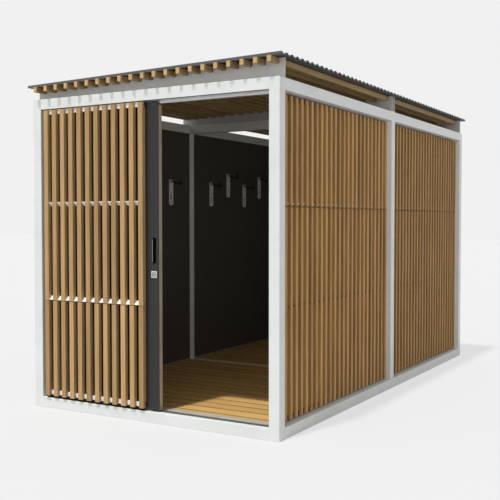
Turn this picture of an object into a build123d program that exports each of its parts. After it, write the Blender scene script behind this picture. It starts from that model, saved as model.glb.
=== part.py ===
from build123d import *
import os
from math import atan2, cos, degrees, pi, sqrt

# Bike shelter: a two-bay frame of square steel tube with slatted walls, a sliding door and a low roof.
# All lengths are in millimetres. The origin is the centre of the footprint, on the ground.
# +X points to the right of the doorway side, +Y from the doorway to the rear, +Z up.

# Frame
frame_width = 2185
frame_depth = 4150
frame_height = 2400
tube = 80
rail_joint_place = 1810
rail_joint_gap = 2

# Slat walls, measured inwards from the outer face of the frame
slat_recess = 42
slat_width = 31
slat_depth = 29
slat_end_margin = 17
side_slat_count = 25
rear_slat_count = 26
slat_end_gap = 15
flat_thickness = 5
flat_height = 35
flat_end_gap = 15
strip_thickness = 4
strip_joint_gap = 0.5
strip_setback = 7
strip_rise = 30
strip_run = 29
wall_lower_strip_height = 880
wall_upper_strip_height = 1553
lining_thickness = 4

# Floor
floor_top = 85
floor_thickness = 27
sill_groove = 18
sill_width = 52

# Roof
purlin_count = 21
purlin_width = 30
purlin_height = 40
purlin_edge = 60
purlin_overhang = 38
purlin_arris = 3
purlin_seat_height = 51
roof_fall = 43
beam_plate = 8
trough_width = 58
trough_plate = 6
notch_clearance = 4
notch_corner = 6
tooth_relief = 2
sheet_wave_count = 55
sheet_wave_steps = 6
sheet_wave_height = 20
sheet_thickness = 1.5
sheet_end_overhang = 25
sheet_side_overhang = 28
sheet_gap = 0.3

# Sliding door, standing open
door_face = 20
door_skin_thickness = 6
door_core_thickness = 38
door_start = 90
door_width = 1103
door_bottom = 90
door_head_gap = 6
core_head_gap = 34
core_edge_inset = 1
door_slat_width = 41
door_slat_depth = 34
door_slat_count = 12
door_slat_margin = 32
door_stile_width = 116
door_slat_bottom_gap = 20
door_slat_top_gap = 10
door_flat_thickness = 10
door_rebate_gap = 6
door_flat_bottom_gap = 25
door_flat_top_gap = 6
door_lower_strip_height = 841
door_upper_strip_height = 1606

# Lock and finger pull on the door's leading stile
lock_edge_distance = 39
lock_height = 1074
lock_plate_size = 49
lock_plate_corner = 4
lock_plate_thickness = 5
lock_ring_radius = 18
lock_ring_depth = 3
lock_core_radius = 10
lock_core_length = 4
lock_key_length = 9
lock_key_width = 2.4
pull_lock_gap = 53.5
pull_length = 185
pull_width = 34
pull_depth = 22
pull_bevel = 13
pull_wall = 2
pull_rim_width = 3
pull_rim = 1.5
pull_fit = 0.2

# Door track, hangers and bottom guide
track_front = 32
track_width = 28
track_height = 24
track_wall = 2.5
track_slot = 12
hanger_inset = 160
hanger_stem_radius = 3
hanger_plate_length = 90
hanger_plate_width = 20
hanger_plate_thickness = 5
roller_radius = 7
roller_width = 18
roller_gap = 0.3
guide_lap = 98
guide_length = 50
guide_thickness = 6
guide_height = 26
guide_foot = 4
guide_foot_width = 18
guide_groove_width = 16
guide_groove_depth = 32

# Fixed panel behind the open door
fixed_panel_front = 70
fixed_panel_thickness = 12
fixed_panel_lap = 103

# Bike hooks on the left lining
hooks_per_bay = 5
hook_spacing = 332
hook_low_bottom = 1610
hook_step = 100
hook_plate_height = 245
hook_plate_width = 70
hook_plate_thickness = 4
hook_plate_foot_corner = 20
hook_plate_head_corner = 10
hook_slot_rise = 74
hook_slot_length = 42
hook_slot_width = 17
hook_slot_corner = 5
hook_bar = 9
hook_bar_width = 34
hook_bar_drop = 8
hook_reach = 122
hook_fall = 38
hook_tip = 52

cut_overrun = 10

# Places that follow from the driving dimensions
left = -frame_width / 2
right = frame_width / 2
front = -frame_depth / 2
rear = frame_depth / 2
rail_top = frame_height
rail_under = frame_height - tube
bay_clear = (frame_depth - 3 * tube) / 2
slat_back = slat_recess + slat_depth
flat_back = slat_back + flat_thickness
lining_back = flat_back + lining_thickness
roof_angle = degrees(atan2(roof_fall, frame_width))
roof_stretch = sqrt(frame_width**2 + roof_fall**2) / frame_width
purlin_pitch = (frame_width - 2 * purlin_edge) / (purlin_count - 1)
door_end = door_start + door_width
door_slat_start = door_start + door_slat_margin
door_slat_end = door_end - door_stile_width
lock_place = door_end - lock_edge_distance
pull_height = lock_height + lock_plate_size / 2 + pull_lock_gap + pull_length / 2
core_front = door_face + door_skin_thickness
core_back = core_front + door_core_thickness
track_centre = track_front + track_width / 2

# Sloping strips, low to high: height at the slats' outer face, rise inwards, slats cut through or only notched
wall_strips = [(wall_lower_strip_height, -strip_rise, False), (wall_upper_strip_height, strip_rise, True)]
door_strips = [(door_lower_strip_height, strip_rise, True), (door_upper_strip_height, -strip_rise, False)]

# Each wall has its own frame: X along the wall, Y inwards from its outer face, Z up
front_wall = Pos(left, front, 0)
right_wall = Pos(right, front, 0) * Rot(0, 0, 90)
rear_wall = Pos(right, rear, 0) * Rot(0, 0, 180)
left_wall = Pos(left, rear, 0) * Rot(0, 0, -90)
roof = Pos(left, 0, rail_top + purlin_seat_height) * Rot(0, -roof_angle, 0)

os.makedirs("parts", exist_ok=True)


def save(node, *solids):
    """Write one named node, made of one solid or of several that stay apart."""
    shape = solids[0] if len(solids) == 1 else Compound(list(solids))
    export_step(shape, f"parts/{node}.step")


def block(x, y, z):
    """Return a box that fills the three given spans."""
    size = (x[1] - x[0], y[1] - y[0], z[1] - z[0])
    return Pos(x[0], y[0], z[0]) * Box(*size, align=(Align.MIN, Align.MIN, Align.MIN))


def prism_along_wall(outline, start, length):
    """Extrude an outline of (depth, height) points along a wall."""
    face = Plane.YZ * Polygon(*outline, align=None)
    return Pos(start + length / 2, 0, 0) * extrude(face, amount=length / 2, both=True)


def spaced(first, last, count):
    """Return evenly spaced places, both ends included."""
    return [first + (last - first) * step / (count - 1) for step in range(count)]


# Frame of posts and rails
def build_frame():
    corner_z = (0, frame_height)
    middle_z = (tube, rail_under)
    middle_y = (-tube / 2, tube / 2)
    sides = {"left": (left, left + tube), "right": (right - tube, right)}
    ends = {"front": (front, front + tube), "rear": (rear - tube, rear)}
    for side, x in sides.items():
        for end, y in ends.items():
            save(f"post_{end}_{side}", block(x, y, corner_z))
        save(f"post_mid_{side}", block(x, middle_y, middle_z))
    levels = {"bottom": (0, tube), "top": (rail_under, rail_top)}
    inner_x = (left + tube, right - tube)
    joint = front + rail_joint_place
    for level, z in levels.items():
        for end, y in ends.items():
            save(f"{level}_rail_{end}", block(inner_x, y, z))
        for side, x in sides.items():
            front_run = block(x, (front + tube, joint - rail_joint_gap / 2), z)
            rear_run = block(x, (joint + rail_joint_gap / 2, rear - tube), z)
            save(f"{level}_rail_{side}", front_run, rear_run)
        save(f"{level}_rail_mid", block(inner_x, middle_y, z))


# Slat panels in three tiers, parted by sloping strips
def strip_underside(depth, outer, height, rise):
    """Return the height of a sloping strip's underside at a depth in the wall."""
    return height + rise * (depth - outer) / strip_run


def slat_outlines(outer, inner, bottom, top, strips, rebate=None):
    """Return the (depth, height) outlines of one slat's lengths, from the ground up.

    A rebate gives the depth, the lower end and the upper end of a back that is cut away
    at the foot and the head."""
    notch_end = outer + strip_setback - strip_joint_gap
    lift = strip_thickness + strip_joint_gap
    lengths = []
    face = [(outer, bottom)]
    back = [(inner, bottom)]
    head = [(inner, top)]
    if rebate:
        depth, low, high = rebate
        back = [(depth, bottom), (depth, low), (inner, low)]
        head = [(depth, top), (depth, high), (inner, high)]
    for height, rise, cut_through in strips:
        front_end = outer if cut_through else notch_end
        line = [(depth, strip_underside(depth, outer, height, rise)) for depth in (front_end, inner)]
        below = [(depth, z - strip_joint_gap) for depth, z in line]
        above = [(depth, z + lift) for depth, z in line]
        if cut_through:
            lengths.append(face + below + back[::-1])
            face = above[:1]
            back = above[1:]
        else:
            back += below[::-1] + above
    lengths.append(face + [(outer, top)] + head + back[::-1])
    return lengths


def slat_panel(centres, width, outline_set):
    """Return the slats of one panel, each made of the lengths that the outlines give."""
    lengths = [prism_along_wall(outline, -width / 2, width) for outline in outline_set]
    return [Pos(centre, 0, 0) * length for centre in centres for length in lengths]


def sloping_strips(start, end, outer, inner, strips):
    """Return the two sloping strips that part the tiers of one panel."""
    bars = []
    for height, rise, _ in strips:
        under = [(d, strip_underside(d, outer, height, rise)) for d in (outer + strip_setback, inner)]
        over = [(d, z + strip_thickness) for d, z in under]
        bars.append(prism_along_wall(under + over[::-1], start, end - start))
    return bars


def upright_flats(start, end, depth, bottom, top):
    """Return the two flat bars behind the slats, at the foot and the head of a panel."""
    low = block((start, end), depth, (bottom, bottom + flat_height))
    high = block((start, end), depth, (top - flat_height, top))
    return [low, high]


def build_wall(name, wall, bays, slat_count):
    """Write the slats, strips and lining of one closed wall."""
    strips = []
    linings = []
    ends = (tube + slat_end_gap, rail_under - slat_end_gap)
    outlines = slat_outlines(slat_recess, slat_back, *ends, wall_strips)
    for bay_name, start, end in bays:
        centres = spaced(start + slat_end_margin, end - slat_end_margin, slat_count)
        slats = slat_panel(centres, slat_width, outlines)
        save(f"{name}{bay_name}_slats", *[wall * slat for slat in slats])
        strips += sloping_strips(start, end, slat_recess, slat_back, wall_strips)
        flat_ends = (tube + flat_end_gap, rail_under - flat_end_gap)
        strips += upright_flats(start, end, (slat_back, flat_back), *flat_ends)
        linings.append(block((start, end), (flat_back, lining_back), (tube, rail_under)))
    save(f"{name}_strips", *[wall * strip for strip in strips])
    save(f"{name}_lining", *[wall * lining for lining in linings])


def build_walls():
    near = (tube, tube + bay_clear)
    far = (frame_depth - tube - bay_clear, frame_depth - tube)
    build_wall("right", right_wall, [("_front", *near), ("_rear", *far)], side_slat_count)
    build_wall("left", left_wall, [("_rear", *near), ("_front", *far)], side_slat_count)
    build_wall("rear", rear_wall, [("", tube, frame_width - tube)], rear_slat_count)


# Floor and door sill
def build_floor():
    x = (left + tube, right - tube)
    z = (floor_top - floor_thickness, floor_top)
    sill_start = front + tube + sill_groove
    sill_end = sill_start + sill_width
    save("door_sill", block(x, (sill_start, sill_end), z))
    save("floor_front_bay", block(x, (sill_end, -tube / 2), z))
    save("floor_rear_bay", block(x, (tube / 2, rear - tube), z))


# Roof beams, purlins and corrugated sheet
def purlin_centres():
    return [(purlin_edge + step * purlin_pitch) * roof_stretch for step in range(purlin_count)]


def notched_plate(y_start, thickness):
    """Return an upright roof plate on a rail, with a notch for each purlin."""
    low = purlin_seat_height + purlin_height - tooth_relief
    outline = [(left, rail_top), (right, rail_top), (right, rail_top + low + roof_fall), (left, rail_top + low)]
    plate = extrude(Plane.XZ * Polygon(*outline, align=None), amount=-thickness)
    width = purlin_width + 2 * notch_clearance
    height = purlin_height + cut_overrun
    notch = Pos(0, 0, height / 2) * Box(width, thickness + 2 * cut_overrun, height)
    lower_edges = notch.edges().filter_by(Axis.Y).sort_by(Axis.Z)[:2]
    notch = chamfer(lower_edges, notch_corner)
    notches = [roof * Pos(place, 0, 0) * notch for place in purlin_centres()]
    return Pos(0, y_start, 0) * (plate - [Pos(0, thickness / 2, 0) * cut for cut in notches])


def build_roof():
    save("roof_beam_front", notched_plate(front + tube - beam_plate, beam_plate))
    save("roof_beam_rear", notched_plate(rear - tube, beam_plate))
    half = trough_width / 2
    foot = block((left, right), (-half, half), (rail_top, rail_top + trough_plate))
    webs = [notched_plate(-half, trough_plate), notched_plate(half - trough_plate, trough_plate)]
    save("roof_beam_mid", foot + webs)

    length = frame_depth + 2 * purlin_overhang
    bar = Pos(0, 0, purlin_height / 2) * Box(purlin_width, length, purlin_height)
    bar = chamfer(bar.edges().filter_by(Axis.Y), purlin_arris)
    save("purlins", *[roof * Pos(place, 0, 0) * bar for place in purlin_centres()])
    save("roof_sheet", corrugated_sheet())


def corrugated_sheet():
    """Return the roof sheet: waves across its depth, straight from side to side, ends folded down."""
    start = front - sheet_end_overhang
    end = rear + sheet_end_overhang
    low = purlin_height + sheet_gap
    swing = (sheet_wave_height - sheet_thickness) / 2
    steps = sheet_wave_count * sheet_wave_steps
    under = []
    for step in range(steps + 1):
        turn = 2 * pi * step / sheet_wave_steps
        under.append((start + (end - start) * step / steps, low + swing * (1 + cos(turn))))
    over = [(y, z + sheet_thickness) for y, z in under]
    crest = low + 2 * swing
    fold_front = [(start, low), (start + sheet_thickness, low), (start + sheet_thickness, crest)]
    fold_rear = [(end - sheet_thickness, crest), (end - sheet_thickness, low), (end, low)]
    outline = fold_front + under[1:-1] + fold_rear + over[::-1]
    width = (frame_width + 2 * sheet_side_overhang) * roof_stretch
    sheet = extrude(Plane.YZ * Polygon(*outline, align=None), amount=width)
    return roof * Pos(-sheet_side_overhang * roof_stretch, 0, 0) * sheet


# Sliding door
def build_door():
    span = (door_start, door_end)
    skin = block(span, (door_face, core_front), (door_bottom, rail_under - door_head_gap))
    core_span = (door_start + core_edge_inset, door_end - core_edge_inset)
    core = block(core_span, (core_front, core_back), (door_bottom, rail_under - core_head_gap))
    pocket = pull_block(pull_fit, (door_face - cut_overrun, door_face + pull_depth + pull_fit))
    groove_y = (track_centre - guide_groove_width / 2, track_centre + guide_groove_width / 2)
    groove_x = (door_start - cut_overrun, door_end + cut_overrun)
    groove = block(groove_x, groove_y, (door_bottom - cut_overrun, door_bottom + guide_groove_depth))
    save("door_skin", front_wall * (skin - pocket))
    save("door_core", front_wall * (core - pocket - groove))

    tray = pull_block(0, (door_face, door_face + pull_depth))
    rim = pull_block(pull_rim_width, (door_face - pull_rim, door_face))
    save("door_pull", front_wall * (tray + rim - pull_hollow()))
    save("door_lock", front_wall * Pos(lock_place, door_face, lock_height) * lock())

    outer = door_face - door_slat_depth
    flat_face = door_face - door_flat_thickness
    low = tube + door_flat_bottom_gap
    high = rail_under - door_flat_top_gap
    rebate = (flat_face, low + flat_height + door_rebate_gap, high - flat_height - door_rebate_gap)
    ends = (door_slat_start + door_slat_width / 2, door_slat_end - door_slat_width / 2)
    centres = spaced(*ends, door_slat_count)
    slat_bottom = tube + door_slat_bottom_gap
    slat_top = rail_under - door_slat_top_gap
    outlines = slat_outlines(outer, door_face, slat_bottom, slat_top, door_strips, rebate)
    slats = slat_panel(centres, door_slat_width, outlines)
    save("door_slats", *[front_wall * slat for slat in slats])
    strips = sloping_strips(door_slat_start, door_slat_end, outer, door_face, door_strips)
    strips += upright_flats(door_slat_start, door_slat_end, (flat_face, door_face), low, high)
    save("door_strips", *[front_wall * strip for strip in strips])


def pull_block(growth, depth):
    """Return a block over the finger pull's outline, grown all round by a margin."""
    half_width = pull_width / 2 + growth
    half_length = pull_length / 2 + growth
    x = (lock_place - half_width, lock_place + half_width)
    return block(x, depth, (pull_height - half_length, pull_height + half_length))


def pull_hollow():
    """Return the finger pull's hollow: a sloping flank at the left and an upright one at the right."""
    left_lip = lock_place - pull_width / 2 + pull_wall
    right_lip = lock_place + pull_width / 2 - pull_wall
    mouth = door_face - pull_rim
    bed = door_face + pull_depth - pull_wall
    plan = [(left_lip, mouth), (right_lip, mouth), (right_lip, bed), (left_lip + pull_bevel, bed)]
    length = pull_length - 2 * pull_wall
    return Pos(0, 0, pull_height - length / 2) * extrude(Polygon(*plan, align=None), amount=length)


def lock():
    """Return the square lock plate with a ring groove, a round core and a keyhole, facing the front."""
    plate = extrude(Plane.XZ * RectangleRounded(lock_plate_size, lock_plate_size, lock_plate_corner),
                    amount=lock_plate_thickness)
    face = Pos(0, -lock_plate_thickness, 0)
    ring = face * extrude(Plane.XZ * Circle(lock_ring_radius), amount=-lock_ring_depth)
    core = extrude(Plane.XZ * Circle(lock_core_radius), amount=lock_plate_thickness + lock_core_length)
    keyhole = Pos(0, -lock_plate_thickness - lock_core_length, 0) * extrude(
        Plane.XZ * Rectangle(lock_key_width, lock_key_length), amount=-lock_core_length)
    return plate - ring + core - keyhole


def build_door_gear():
    """Write the track, the hangers that roll in it, the bottom guide and the fixed panel."""
    x = (tube, frame_width - tube)
    track_z = (rail_under - track_height, rail_under)
    outer = block(x, (track_front, track_front + track_width), track_z)
    lip_top = track_z[0] + track_wall
    inner = block((x[0] - cut_overrun, x[1] + cut_overrun),
                  (track_front + track_wall, track_front + track_width - track_wall),
                  (lip_top, rail_under - track_wall))
    slot = block((x[0] - cut_overrun, x[1] + cut_overrun),
                 (track_centre - track_slot / 2, track_centre + track_slot / 2),
                 (track_z[0] - cut_overrun, lip_top + cut_overrun))
    save("door_track", front_wall * (outer - inner - slot))

    core_top = rail_under - core_head_gap
    axle = lip_top + roller_gap + roller_radius
    hangers = []
    for place in (door_start + hanger_inset, door_end - hanger_inset):
        foot = Pos(place, track_centre, core_top + hanger_plate_thickness / 2)
        plate = foot * Box(hanger_plate_length, hanger_plate_width, hanger_plate_thickness)
        stem_base = Pos(place, track_centre, core_top)
        stem = stem_base * Cylinder(hanger_stem_radius, axle - core_top,
                                    align=(Align.CENTER, Align.CENTER, Align.MIN))
        roller = Pos(place, track_centre, axle) * Rot(90, 0, 0) * Cylinder(roller_radius, roller_width)
        hangers.append(plate + stem + roller)
    save("door_hangers", *[front_wall * hanger for hanger in hangers])

    guide_place = door_end - guide_lap
    guide_x = (guide_place - guide_length / 2, guide_place + guide_length / 2)
    fin = block(guide_x, (track_centre - guide_thickness / 2, track_centre + guide_thickness / 2),
                (tube, tube + guide_height))
    foot = block(guide_x, (track_centre - guide_foot_width / 2, track_centre + guide_foot_width / 2),
                 (tube, tube + guide_foot))
    save("door_guide", front_wall * (fin + foot))

    panel_y = (fixed_panel_front, fixed_panel_front + fixed_panel_thickness)
    panel_x = (tube, door_end - fixed_panel_lap)
    save("front_fixed_panel", front_wall * block(panel_x, panel_y, (tube, rail_under)))


# Bike hooks
def hook_plate():
    """Return one wall plate with its slot, face towards +X, foot at the origin."""
    outline = Pos(0, hook_plate_height / 2) * Rectangle(hook_plate_width, hook_plate_height)
    rows = outline.vertices().group_by(Axis.Y)
    outline = chamfer(rows[0], hook_plate_foot_corner)
    outline = chamfer(outline.vertices().group_by(Axis.Y)[-1], hook_plate_head_corner)
    slot = Rectangle(hook_slot_width, hook_slot_length)
    outline -= Pos(0, hook_slot_rise) * chamfer(slot.vertices(), hook_slot_corner)
    return extrude(Plane.YZ * outline, amount=hook_plate_thickness)


def hook_arm():
    """Return one bent flat bar that falls away from its plate and turns up at the tip."""
    root = hook_plate_height - hook_bar_drop
    crook = root - hook_fall
    inner = hook_reach - hook_bar
    outline = [
        (hook_plate_thickness, root),
        (inner, crook),
        (inner, crook + hook_tip),
        (hook_reach, crook + hook_tip),
        (hook_reach, crook - hook_bar),
        (hook_plate_thickness, root - hook_bar),
    ]
    return extrude(Plane.XZ * Polygon(*outline, align=None), amount=hook_bar_width / 2, both=True)


def build_hooks():
    bay_centres = (front + tube + bay_clear / 2, rear - tube - bay_clear / 2)
    middle = (hooks_per_bay - 1) / 2
    places = []
    for centre in bay_centres:
        for step in range(hooks_per_bay):
            height = hook_low_bottom + hook_step * (step % 2)
            places.append(Pos(left + lining_back, centre + (step - middle) * hook_spacing, height))
    plate = hook_plate()
    arm = hook_arm()
    save("hook_plates", *[place * plate for place in places])
    save("hook_arms", *[place * arm for place in places])


build_frame()
build_walls()
build_floor()
build_roof()
build_door()
build_door_gear()
build_hooks()
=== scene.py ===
# %% [markdown]
# # A slatted bike shelter, dressed piece by piece
# The steel, the boards and the sliding door already exist as solids of the right size. This lesson gives
# them their looks: timber with grain, coated steel, a waved roof sheet, and the small fittings.
# The first cell loads the solids.

# %% Load the solids
import random
from math import asin, atan2, cos, radians

import bpy
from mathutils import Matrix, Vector


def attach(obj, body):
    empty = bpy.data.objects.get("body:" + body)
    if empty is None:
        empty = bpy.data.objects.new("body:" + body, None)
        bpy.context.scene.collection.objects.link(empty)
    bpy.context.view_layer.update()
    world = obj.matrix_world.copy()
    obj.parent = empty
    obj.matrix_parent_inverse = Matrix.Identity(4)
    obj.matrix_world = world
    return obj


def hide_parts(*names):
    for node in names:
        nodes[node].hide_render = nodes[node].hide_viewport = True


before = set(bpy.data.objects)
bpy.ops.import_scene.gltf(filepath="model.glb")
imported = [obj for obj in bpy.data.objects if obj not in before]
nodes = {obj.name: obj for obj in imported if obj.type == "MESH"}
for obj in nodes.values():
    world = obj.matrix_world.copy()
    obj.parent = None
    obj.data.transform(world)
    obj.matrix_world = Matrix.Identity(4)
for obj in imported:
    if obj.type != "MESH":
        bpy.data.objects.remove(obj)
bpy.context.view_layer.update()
scene = bpy.context.scene
scene.view_settings.view_transform = "Standard"

# %% [markdown]
# ## Hand tools
# Operators act on whatever is selected, so a few small helpers keep the selection tidy. `only` picks one
# object, `pick` selects edges or faces by where they are or which way they point, and `block` starts most
# timber and steel pieces: a block of the right size in the right place, whose long edges are then eased.

# %% Selection helpers
left, right, front, rear = -1.0925, 1.0925, -2.075, 2.075
tube = 0.080
rail_top = 2.400
rail_under = rail_top - tube


def only(piece):
    bpy.ops.object.select_all(action="DESELECT")
    piece.select_set(True)
    bpy.context.view_layer.objects.active = piece


def pick(piece, kind, test):
    """Open a piece in edit mode with only the edges or faces that pass the test selected."""
    only(piece)
    bpy.ops.object.mode_set(mode="EDIT")
    bpy.ops.mesh.select_mode(type=kind)
    bpy.ops.mesh.select_all(action="DESELECT")
    bpy.ops.object.mode_set(mode="OBJECT")
    mesh = piece.data
    if kind == "EDGE":
        for edge in mesh.edges:
            a, b = (mesh.vertices[i].co for i in edge.vertices)
            edge.select = bool(test((a + b) / 2, (b - a).normalized()))
    else:
        for face in mesh.polygons:
            face.select = bool(test(face.center, face.normal))
    bpy.ops.object.mode_set(mode="EDIT")


def close():
    bpy.ops.object.mode_set(mode="OBJECT")


def settle(piece):
    """Write a piece's place and turn into its mesh, so its object sits at the origin."""
    only(piece)
    bpy.ops.object.transform_apply(location=True, rotation=True, scale=True)


def apply_all(piece):
    only(piece)
    for modifier in list(piece.modifiers):
        bpy.ops.object.modifier_apply(modifier=modifier.name)


def soften(piece, angle=40):
    only(piece)
    bpy.ops.object.shade_smooth_by_angle(angle=radians(angle))


# %% Blocks and rows
def block(name, low, high):
    """Start a piece as a block between two corners."""
    bpy.ops.object.select_all(action="DESELECT")
    low, high = Vector(low), Vector(high)
    bpy.ops.mesh.primitive_cube_add(size=1, location=(low + high) / 2, scale=high - low)
    piece = bpy.context.object
    piece.name = name
    settle(piece)
    return piece


def cylinder(name, sides, radius, height, place=(0, 0, 0), turn=(0, 0, 0)):
    """Start a round piece about its middle."""
    bpy.ops.object.select_all(action="DESELECT")
    bpy.ops.mesh.primitive_cylinder_add(vertices=sides, radius=radius, depth=height, location=place,
                                        rotation=turn)
    piece = bpy.context.object
    piece.name = name
    settle(piece)
    return piece


def round_edges(width, steps):
    """Bevel the selected edges and leave edit mode."""
    bpy.ops.mesh.bevel(offset=width, segments=steps, affect="EDGES")
    close()


def ease(piece, along, width, steps=2):
    """Bevel the edges that run along one axis."""
    axis = "XYZ".index(along)
    pick(piece, "EDGE", lambda middle, way: abs(way[axis]) > 0.99)
    round_edges(width, steps)


def tone(piece, sizes, seed, spread=1.0, middle=0.5):
    """Give each length of timber a number of its own, which its grain and shade follow."""
    dice = random.Random(seed)
    values = []
    while len(values) < len(piece.data.vertices):
        for size in sizes:
            values += [middle + spread * (dice.random() - 0.5)] * size
    layer = piece.data.attributes.new("tone", "FLOAT", "POINT")
    layer.data.foreach_set("value", values[:len(piece.data.vertices)])


def row(piece, count, step):
    """Repeat a piece along a line."""
    array = piece.modifiers.new("row", "ARRAY")
    array.use_relative_offset = False
    array.use_constant_offset = True
    array.constant_offset_displace = step
    array.count = count
    apply_all(piece)


def join(name, pieces):
    bpy.ops.object.select_all(action="DESELECT")
    for piece in pieces:
        piece.select_set(True)
    bpy.context.view_layer.objects.active = pieces[0]
    bpy.ops.object.join()
    pieces[0].name = name
    return pieces[0]


def copy_to(piece, places):
    """Copy a piece to each place, each copy with its own mesh, and join the copies."""
    copies = []
    for place in places:
        only(piece)
        bpy.ops.object.duplicate(linked=False)
        copies.append(bpy.context.object)
        copies[-1].location = place
        settle(copies[-1])
    name = piece.name
    bpy.data.objects.remove(piece)
    return join(name, copies)


print("helpers ready")

# %% [markdown]
# ## Finishes
# Every finish is built from nodes. Three effects are shared, so each is a node group with its own inputs:
# timber grain, the slight cloudiness of a coated surface, and the fine lines of brushed metal.
# Each group reads the place on the piece in metres, so the grain keeps its real size on every piece.

# %% Node helpers
def add(tree, kind, values=None, **settings):
    """Add a node, set its options, and fill its inputs with numbers, colours or links."""
    made = tree.nodes.new(kind)
    for key, value in settings.items():
        setattr(made, key, value)
    for key, value in (values or {}).items():
        if isinstance(value, bpy.types.NodeSocket):
            tree.links.new(value, made.inputs[key])
        else:
            made.inputs[key].default_value = value
    return made


def effect(name, inputs, outputs):
    """Start a shared effect: a shader node group with named sockets."""
    tree = bpy.data.node_groups.new(name, "ShaderNodeTree")
    for label, kind in inputs:
        tree.interface.new_socket(label, in_out="INPUT", socket_type="NodeSocket" + kind)
    for label, kind in outputs:
        tree.interface.new_socket(label, in_out="OUTPUT", socket_type="NodeSocket" + kind)
    return tree, tree.nodes.new("NodeGroupInput").outputs, tree.nodes.new("NodeGroupOutput").inputs


def noise(tree, place, scale, detail=2.0, rough=0.5, bend=0.0):
    values = {"Vector": place, "Scale": scale, "Detail": detail, "Roughness": rough, "Distortion": bend}
    return add(tree, "ShaderNodeTexNoise", values).outputs["Fac"]


def span(tree, value, low, high, new_low, new_high):
    """Turn one range of values into another."""
    values = {"Value": value, "From Min": low, "From Max": high, "To Min": new_low, "To Max": new_high}
    return add(tree, "ShaderNodeMapRange", values).outputs["Result"]


def from_noise(tree, value, new_low, new_high):
    """Turn noise, which mostly lies between 0.3 and 0.7, into another range."""
    return span(tree, value, 0.3, 0.7, new_low, new_high)


def blend(tree, share, a, b, kind="MIX"):
    made = add(tree, "ShaderNodeMix", {"Factor": share, 6: a, 7: b},
               data_type="RGBA", blend_type=kind, clamp_factor=True)
    return made.outputs[2]


def sums(tree, kind, a, b):
    return add(tree, "ShaderNodeMath", {0: a, 1: b}, operation=kind).outputs[0]


def vectors(tree, kind, a, b):
    return add(tree, "ShaderNodeVectorMath", {0: a, 1: b}, operation=kind).outputs[0]


def drawn_out(tree, place, share):
    """Shrink a place along Z, which draws noise out into streaks."""
    return add(tree, "ShaderNodeMapping", {"Vector": place, "Scale": (1.0, 1.0, share)}).outputs[0]


def shaded(tree, colour, level):
    """Make a colour lighter or darker by a level."""
    grey = add(tree, "ShaderNodeCombineColor", {0: level, 1: level, 2: level}).outputs[0]
    return blend(tree, 1.0, colour, grey, "MULTIPLY")


# %% [markdown]
# ### Timber grain
# Planed timber shows long streaks of early and late wood, finer fibres between them, and a shade that
# differs from one length to the next. Noise that is stretched along the grain gives the streaks. The
# `Tone` number of each length shifts the pattern, so no two neighbours share the same streaks. A number over
# one marks a sawn end, which gets painted light: the end is made paler than the sides.

# %% Timber grain group
tone_stride = (13.7, 7.9, 31.3)
streak_scale, streak_draw, streak_share = 70.0, 0.030, 0.75
fibre_scale, fibre_draw = 420.0, 0.012
cloud_scale = 2.2
dark_from, pale_from = 0.33, 0.62
dark_length, pale_length, end_light_lift = 0.80, 1.14, 0.4
grain, inside, outside = effect(
    "timber_grain",
    [("Place", "Vector"), ("Tone", "Float"), ("Pale", "Color"), ("Dark", "Color")],
    [("Colour", "Color"), ("Roughness", "Float"), ("Height", "Float")])
shift = vectors(grain, "MULTIPLY", inside["Tone"], tone_stride)
moved = vectors(grain, "ADD", inside["Place"], shift)
streak = noise(grain, drawn_out(grain, moved, streak_draw), streak_scale, 4.0, 0.62, 0.3)
fibre = noise(grain, drawn_out(grain, moved, fibre_draw), fibre_scale, 2.0, 0.6)
cloud = noise(grain, moved, cloud_scale, 2.0)
streaks = sums(grain, "MULTIPLY", streak, streak_share)
fibres = sums(grain, "MULTIPLY", fibre, 1 - streak_share)
share = span(grain, sums(grain, "ADD", streaks, fibres), dark_from, pale_from, 0.0, 1.0)
base = blend(grain, share, inside["Dark"], inside["Pale"])
own_shade = span(grain, inside["Tone"], 0.0, 1.0, dark_length, pale_length)
end_light_shade = span(grain, inside["Tone"], 1.0, 2.0, 0.0, end_light_lift)
length_shade = sums(grain, "ADD", own_shade, end_light_shade)
shade = sums(grain, "MULTIPLY", length_shade, from_noise(grain, cloud, 0.93, 1.07))
grain.links.new(shaded(grain, base, shade), outside["Colour"])
grain.links.new(from_noise(grain, fibre, 0.62, 0.44), outside["Roughness"])
grain.links.new(sums(grain, "ADD", streak, sums(grain, "MULTIPLY", fibre, 0.5)), outside["Height"])
print("timber grain has", len(grain.nodes), "nodes")

# %% [markdown]
# ### Coated steel and board
# A coating looks even from afar, but close up it is slightly cloudy, has a fine orange-peel surface, and
# holds a little dust near the ground. The group returns those three things for any coat colour.

# %% Coat group
cloud_scale, peel_scale, speck_scale = 3.5, 520.0, 38.0
dust_height, dust_share = 0.25, 0.10
coat, inside, outside = effect(
    "coated_surface",
    [("Place", "Vector"), ("Coat", "Color"), ("Dust", "Color")],
    [("Colour", "Color"), ("Roughness", "Float"), ("Height", "Float")])
cloud = noise(coat, inside["Place"], cloud_scale, 3.0)
peel = noise(coat, inside["Place"], peel_scale, 1.0)
speck = noise(coat, inside["Place"], speck_scale, 4.0, 0.7)
even = shaded(coat, inside["Coat"], from_noise(coat, cloud, 0.955, 1.03))
height = add(coat, "ShaderNodeSeparateXYZ", {0: inside["Place"]}).outputs[2]
low_down = span(coat, height, 0.0, dust_height, dust_share, 0.0)
dusty = sums(coat, "MULTIPLY", low_down, span(coat, speck, 0.35, 0.65, 0.2, 1.0))
satin = from_noise(coat, speck, 0.34, 0.46)
coat.links.new(blend(coat, dusty, even, inside["Dust"]), outside["Colour"])
coat.links.new(sums(coat, "ADD", satin, sums(coat, "MULTIPLY", dusty, 0.5)), outside["Roughness"])
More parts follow.
